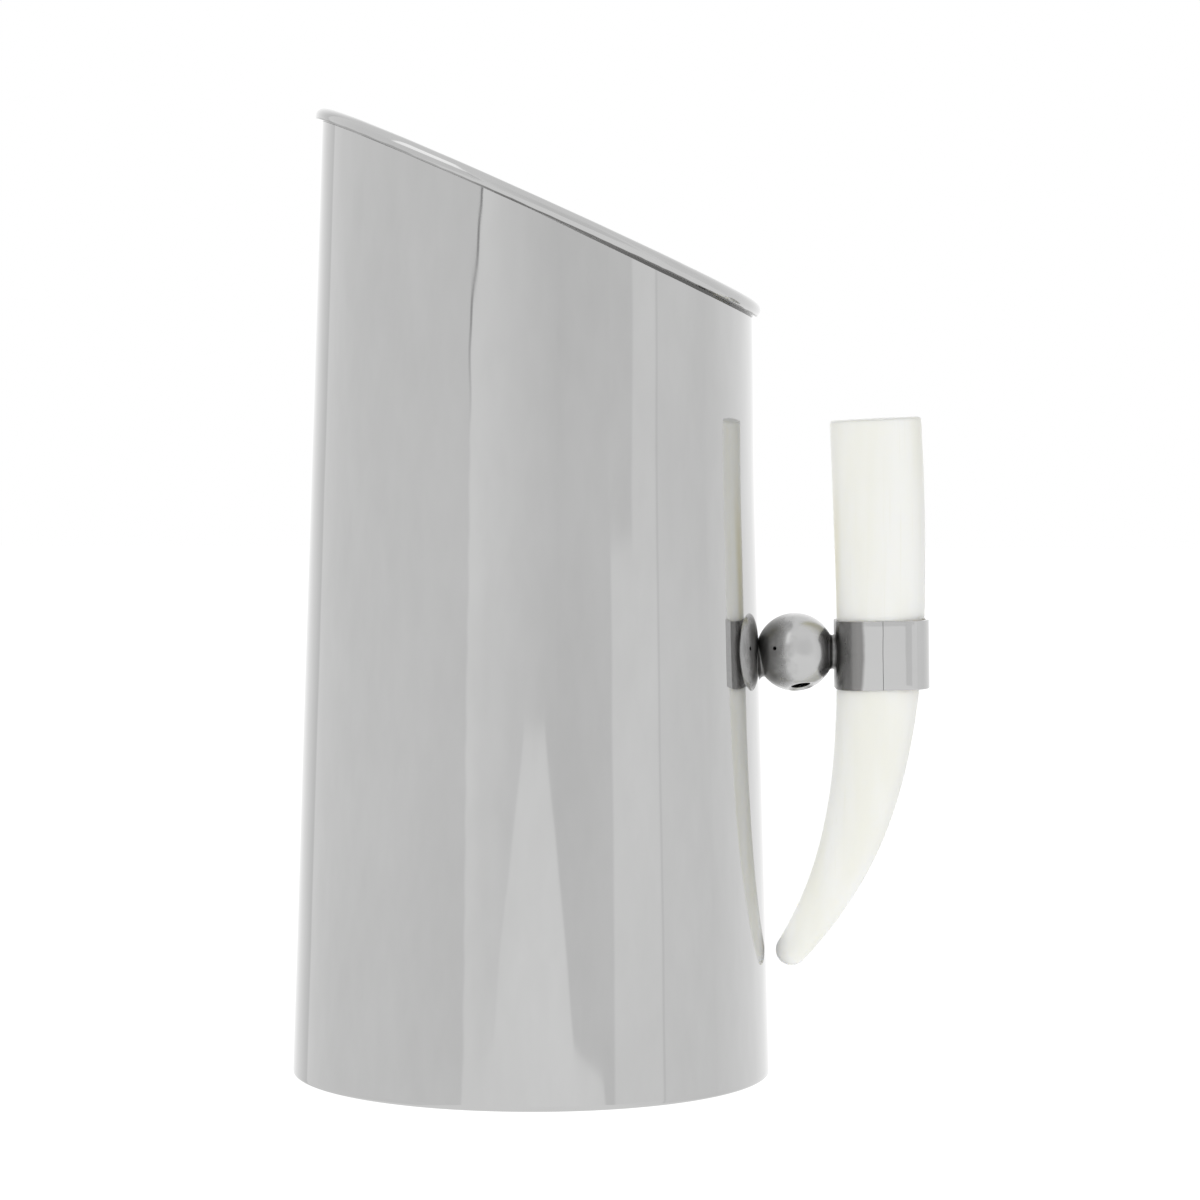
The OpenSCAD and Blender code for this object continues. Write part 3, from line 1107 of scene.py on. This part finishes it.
    def spine(self, share: float) -> tuple[Vector, Vector]:
        """Returns the horn's middle line and its direction at a share of the curve."""
        top = Vector((self.centre.x + self.top_shift, 0.0, self.top_height))
        points = [top + Vector((x, 0.0, z)) * MM for x, z in self.bend_points]
        first, second, third = (points[i + 1] - points[i] for i in range(3))
        a, b = 1.0 - share, share
        along = a * a * first + 2 * a * b * second + b * b * third
        return cubic(points, share), along.normalized()

    def half_width(self, share: float) -> float:
        """Returns the horn's half width at a share of the curve."""
        return cubic(self.half_widths, share)

    def horn_ring(self, share: float, step: float, inset: float, sides: int) -> list[tuple[float, ...]]:
        """Returns one loop round the horn.

        Args:
            share: Share of the middle line, from the sawn top to the tip.
            step: Extra distance along the line's direction.
            inset: How far the loop is drawn in.
            sides: Number of points in the loop.

        Returns:
            The loop's points.
        """
        centre, along = self.spine(share)
        across = Vector((-along.z, 0.0, along.x))
        half = self.half_width(share)
        deep = half * (self.flatness + (1.0 - self.flatness) * share)
        power = 2.5 - 0.5 * share
        ring = []
        for j in range(sides):
            turn = FULL_TURN * j / sides
            x = math.copysign(abs(math.cos(turn)) ** (2.0 / power), math.cos(turn))
            y = math.copysign(abs(math.sin(turn)) ** (2.0 / power), math.sin(turn))
            lump = 0.06 * MM * noise.noise(Vector((x * 1.5, y * 1.5, centre.z / 0.02)))
            rough = inset + 0.04 * MM + lump
            sideways = Vector((0.0, y * (deep - rough), 0.0))
            point = centre + along * step + across * x * (half - rough) + sideways
            ring.append(self.let_in(point))
        return ring

    def let_in(self, point: Vector) -> tuple[float, ...]:
        """Draws a point of the horn in where the band goes round it."""
        local = self.band_frame().inverted() @ point
        hold = self.height / 2.0 - 0.3 * MM
        bend = self.corner - self.strip - self.bedding
        if abs(local.z) < hold:
            core = Vector((
                min(max(local.x, self.corner - self.width / 2.0), self.width / 2.0 - self.corner),
                min(max(local.y, self.corner - self.depth / 2.0), self.depth / 2.0 - self.corner),
                local.z,
            ))
            out = local - core
            if out.length > bend:
                local = core + out * (bend / out.length)
        return tuple(self.band_frame() @ local)

    def build_horn(self) -> bpy.types.Object:
        """Returns the curved horn with its sawn top and rounded tip."""
        sides = 96
        edge_rows = 6
        rings = []
        for i in range(edge_rows + 1):
            turn = math.radians(90.0 * i / edge_rows)
            step = self.edge * (1.0 - math.cos(turn))
            rings.append(self.horn_ring(0.0, step, self.edge * (1.0 - math.sin(turn)), sides))
        rows = 170
        for i in range(2, rows + 1):
            rings.append(self.horn_ring(i / rows, 0.0, 0.0, sides))
        tip = self.half_widths[-1]
        tip_rows = 12
        for i in range(1, tip_rows):
            turn = math.radians(90.0 * i / tip_rows)
            rings.append(self.horn_ring(1.0, tip * math.sin(turn), tip * (1.0 - math.cos(turn)), sides))
        return loft("grip_horn", np.array(rings), capped=True, sharp_degrees=45.0)

    def dress(self) -> None:
        """Builds and finishes the grip's pieces."""
        joint = (self.centre.x - self.width / 2.0, 0.0, self.centre.z)
        # Painted reflection of the ball and wall: a sharp-edged darker strip down the band's side that
        # faces the ball, and painted shade darker still round the band's joint with the ball.
        painted_reflection_grey = (0.27, 0.267, 0.263, 1.0)
        far_left = (joint[0] - 80.0 * MM, 0.0, joint[2])
        painted_shade_spots = (
            PaintedShadeSpot(far_left, 88.3 * MM, painted_reflection_grey, core=0.986, ragged=0.004),
            PaintedShadeSpot(joint, 11.2 * MM, (0.11, 0.108, 0.105, 1.0)),
        )
        band = PolishedMetal(
            "band_silver", "silver_band", gloss=0.09, worn=0.20, marks=0.6, painted_shade_spots=painted_shade_spots,
        )
        dress(self.build_band(), band, "horn_band")
        edge_x = self.spine(0.0)[0].x - self.half_widths[0]
        horn = PaleHorn("pale_horn", "horn", edge_x + 1.0 * MM, self.centre.z + self.height / 2.0)
        dress(self.build_bedding(), Resin("bedding_resin", "bedding"), "band_bedding")
        dress(self.build_horn(), horn, "horn_grip")


# ---- Studio ----


@dataclass(frozen=True)
class Screen:
    """One cloth screen of the tent, from its left to its right edge seen from the object.

    Bearings are in degrees: 0 faces the front, positive ones turn towards the grip.
    """

    start: float
    end: float
    start_glow: float
    end_glow: float


@dataclass(frozen=True)
class Span:
    """A stretch of angles with soft ends, in degrees."""

    low: float
    high: float
    soft: float

    def mask(self, wires: Wires, angle: Socket) -> Socket:
        """Returns 1 within the stretch and 0 outside it."""
        start = wires.rise(angle, self.low, self.low + self.soft)
        end = wires.rise(angle, self.high, self.high - self.soft)
        return wires.times(start, end)


@dataclass(frozen=True)
class Tent:
    """The white cloth tent that the metal mirrors, with all its angles in degrees."""

    top_glow: float = 1.3
    ceiling_glow: float = 0.92
    gap_bearing: float = -29.0
    gap_depth: float = 0.62
    fold: Span = Span(38.0, 53.0, 2.0)
    fold_glow: float = 0.84
    hem_bearing: float = 66.4
    hem_depth: float = 0.09
    table_bearing: float = 1.0
    table_edge: float = -1.3
    table_glow: float = 0.985
    lamp_bearings: Span = Span(-78.0, -24.0, 4.0)
    lamp_heights: Span = Span(28.0, 64.0, 3.0)
    lamp_glow: float = 0.50
    screens: tuple[Screen, ...] = (
        Screen(-180.0, -161.0, 1.20, 1.02),
        Screen(-161.0, -137.5, 1.02, 0.76),
        Screen(-137.5, -110.0, 0.94, 0.90),
        Screen(-110.0, -60.0, 0.90, 0.87),
        Screen(-60.0, -28.5, 0.87, 0.865),
        Screen(-28.5, -10.0, 0.99, 0.88),
        Screen(-10.0, 12.0, 0.88, 0.81),
        Screen(12.0, 40.0, 0.80, 0.83),
        Screen(40.0, 66.0, 0.955, 0.95),
        Screen(66.0, 100.0, 0.91, 0.88),
        Screen(100.0, 140.0, 0.89, 1.02),
        Screen(140.0, 180.0, 1.03, 1.20),
    )

    def glow(self, wires: Wires) -> Socket:
        """Returns the tent's glow in the direction that a ray leaves in.

        Args:
            wires: The world's tree.

        Returns:
            The strength of the light.
        """
        x, y, z = wires.axes(wires.node("ShaderNodeTexCoord").outputs["Generated"])
        bearing = wires.maths("DEGREES", wires.maths("ARCTAN2", x, wires.times(y, -1.0)))
        height = wires.maths("DEGREES", wires.maths("ARCSINE", z))
        sway = self.sway(wires, height)
        near_gap = wires.rise(wires.away_from(bearing, self.gap_bearing), 12.0, 5.0)
        glow = self.cloths(wires, wires.minus(bearing, wires.times(near_gap, sway)))
        glow = wires.dim(glow, self.gap(wires, wires.minus(bearing, sway), height))
        glow = self.with_fold(wires, glow, bearing, height)
        glow = self.with_table(wires, glow, bearing, height)
        ceiling = wires.rise(height, 25.0, 55.0)
        glow = wires.plus(wires.dim(glow, ceiling), wires.times(ceiling, self.ceiling_glow))
        lamp = wires.times(self.lamp_bearings.mask(wires, bearing), self.lamp_heights.mask(wires, height))
        return wires.plus(glow, wires.times(lamp, self.lamp_glow))

    def cloths(self, wires: Wires, bearing: Socket) -> Socket:
        """Returns the glow of the screens at a bearing, 0 at the front."""
        made = wires.node("ShaderNodeValToRGB")
        ramp = made.color_ramp
        overlap = 0.15
        stops = []
        for screen in self.screens:
            stops.append((screen.start + overlap, screen.start_glow))
            stops.append((screen.end - overlap, screen.end_glow))
        for place, _ in stops[1:-1]:
            ramp.elements.new(place / 360.0 + 0.5)
        for stop, (_, glow) in zip(ramp.elements, stops):
            value = glow / self.top_glow
            stop.color = (value, value, value, 1.0)
        wires.plug(made.inputs[0], wires.times_plus(bearing, 1.0 / 360.0, 0.5))
        return wires.times(made.outputs[0], self.top_glow)

    @staticmethod
    def sway(wires: Wires, height: Socket) -> Socket:
        """Returns how far the left cloth's edge hangs off its upright."""
        lean = wires.times_plus(wires.rise(height, 3.6, 5.6), 5.2, -3.7)
        ripple = wires.maths("SINE", wires.times(height, 7.0))
        return wires.plus(lean, wires.times(ripple, 0.35))

    def gap(self, wires: Wires, bearing: Socket, height: Socket) -> Socket:
        """Returns how dark the gap is where two cloths meet, above table height."""
        off = wires.away_from(bearing, self.gap_bearing)
        narrow = wires.minus(1.0, wires.rise(off, 0.35, 0.75))
        return wires.times(wires.times(narrow, wires.rise(height, 2.2, 4.6)), self.gap_depth)

    def with_fold(self, wires: Wires, glow: Socket, bearing: Socket, height: Socket) -> Socket:
        """Returns the glow with the grip side's cloth folded back above table height, and its hem."""
        fold = wires.times(self.fold.mask(wires, bearing), wires.rise(height, 0.5, 0.9))
        hem = wires.rise(wires.away_from(bearing, self.hem_bearing), 0.9, 0.4)
        return wires.dim(wires.towards(glow, self.fold_glow, fold), wires.times(hem, self.hem_depth))

    def with_table(self, wires: Wires, glow: Socket, bearing: Socket, height: Socket) -> Socket:
        """Returns the glow with the bright strip of table that runs from the object to the front."""
        fall = wires.minus(self.table_edge, height)
        reach = wires.times_plus(fall, 3.2, 5.0)
        reach = wires.times_plus(wires.rise(fall, 4.5, 5.3), 12.0, reach)
        side = wires.minus(reach, wires.away_from(bearing, self.table_bearing))
        table = wires.times(wires.rise(side, 0.0, 1.0), wires.rise(fall, 0.0, 0.35))
        return wires.towards(glow, self.table_glow, table)


@dataclass
class Studio:
    """The tent, a pale floor, a soft key light, a faint bounce light and the camera."""

    tent: Tent = Tent()
    distance: float = 1.11533
    eye_height: float = 0.19264
    pitch: float = 0.05918
    roll: float = 0.00358
    yaw: float = 0.01617
    lens: float = 125.38
    sensor: float = 36.0
    fill: float = 0.39
    floor_size: float = 6.0
    floor_glow: float = 1.27
    floor_share: float = 0.8
    key_size: float = 0.7
    key_power: float = 7.0
    bounce_power: float = 0.0062

    def aim_camera(self) -> None:
        """Adds the camera at the front, a little above the middle, looking slightly down."""
        data = bpy.data.cameras.new("camera")
        data.lens = self.lens
        data.sensor_width = self.sensor
        data.clip_start = 0.05
        camera = add_object("camera", data)
        forward = Vector((
            math.sin(self.yaw) * math.cos(self.pitch),
            math.cos(self.yaw) * math.cos(self.pitch),
            -math.sin(self.pitch),
        ))
        level = Vector((math.cos(self.yaw), -math.sin(self.yaw), 0.0))
        above = level.cross(forward)
        right = level * math.cos(self.roll) + above * math.sin(self.roll)
        up = above * math.cos(self.roll) - level * math.sin(self.roll)
        axes = Matrix((right, up, -forward)).transposed().to_4x4()
        camera.matrix_world = Matrix.Translation((0.0, -self.distance, self.eye_height)) @ axes
        bpy.context.scene.camera = camera

    def hang_tent(self) -> None:
        """Makes the world: the metal mirrors the tent, and behind the object it is plain white."""
        world = bpy.data.worlds.new("tent")
        bpy.context.scene.world = world
        world.use_nodes = True
        world.node_tree.nodes.clear()
        wires = Wires(world.node_tree)
        path = wires.node("ShaderNodeLightPath")
        seen = path.outputs["Is Camera Ray"]
        soft = path.outputs["Is Diffuse Ray"]
        tent = wires.node("ShaderNodeBackground")
        wires.plug(tent.inputs["Strength"], self.tent.glow(wires))
        plain = wires.node("ShaderNodeBackground")
        wires.plug(plain.inputs["Strength"], wires.times_plus(seen, 1.0 - self.fill, self.fill))
        for cloth in (tent, plain):
            cloth.inputs["Color"].default_value = WHITE
        either = wires.mix(wires.maths("ADD", seen, soft, clamp=True), tent, plain)
        out = wires.node("ShaderNodeOutputWorld")
        wires.plug(out.inputs["Surface"], either.outputs[0])

    def lay_floor(self) -> None:
        """Lays the pale floor, which the polished metal doesn't mirror."""
        bpy.ops.mesh.primitive_grid_add(x_subdivisions=4, y_subdivisions=4, size=self.floor_size)
        floor = bpy.context.object
        floor.name = "floor"
        material = bpy.data.materials.new("pale_floor")
        material.use_nodes = True
        material.node_tree.nodes.clear()
        wires = Wires(material.node_tree)
        matt = wires.node("ShaderNodeBsdfDiffuse")
        matt.inputs["Color"].default_value = (0.9, 0.9, 0.9, 1.0)
        glow = wires.node("ShaderNodeEmission")
        glow.inputs["Strength"].default_value = self.floor_glow
        pale = wires.mix(self.floor_share, matt, glow)
        mirrored = wires.node("ShaderNodeLightPath").outputs["Is Glossy Ray"]
        either = wires.mix(mirrored, pale, wires.node("ShaderNodeBsdfTransparent"))
        out = wires.node("ShaderNodeOutputMaterial")
        wires.plug(out.inputs["Surface"], either.outputs[0])
        floor.data.materials.append(material)

    @staticmethod
    def area_light(name: str, shape: str, size: Pair, power: float) -> bpy.types.Object:
        """Adds an area light that the metal doesn't mirror.

        Args:
            name: Name of the light.
            shape: Blender's name for its shape.
            size: Its size across and along.
            power: Its power in watts.

        Returns:
            The light's object.
        """
        data = bpy.data.lights.new(name, "AREA")
        data.shape = shape
        data.size, data.size_y = size
        data.energy = power
        light = add_object(name, data)
        light.visible_glossy = False
        return light

    def add_key_light(self) -> None:
        """Adds a broad soft light from the front."""
        key = self.area_light("key", "DISK", (self.key_size, self.key_size), self.key_power)
        key.location = (-0.15, -1.5, 0.55)
        aim = Vector((0.03, 0.0, 0.12)) - key.location
        key.rotation_euler = aim.to_track_quat("-Z", "Y").to_euler()

    def add_bounce_light(self) -> None:
        """Adds the light that the wall throws back on the horn."""
        bounce = self.area_light("bounce", "RECTANGLE", (0.15, 0.03), self.bounce_power)
        bounce.location = (0.0655, 0.0, 0.112)
        bounce.rotation_euler = (0.0, -math.pi / 2.0, 0.0)
        bounce.visible_camera = False

    def set_up(self) -> None:
        """Builds the whole studio."""
        view = bpy.context.scene.view_settings
        view.view_transform = "Standard"
        view.look = "None"
        self.aim_camera()
        self.hang_tent()
        self.lay_floor()
        self.add_key_light()
        self.add_bounce_light()
        LOG.info("studio: camera, tent, floor, key and bounce light")


def main() -> None:
    """Builds the studio and every piece of the pitcher."""
    logging.basicConfig(level=logging.INFO, format="%(name)s: %(message)s")
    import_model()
    Studio().set_up()
    vessel = Vessel()
    vessel.dress()
    grip = Grip()
    grip.dress()
    BallJoint(vessel, grip).dress()


if __name__ == "__main__":
    main()
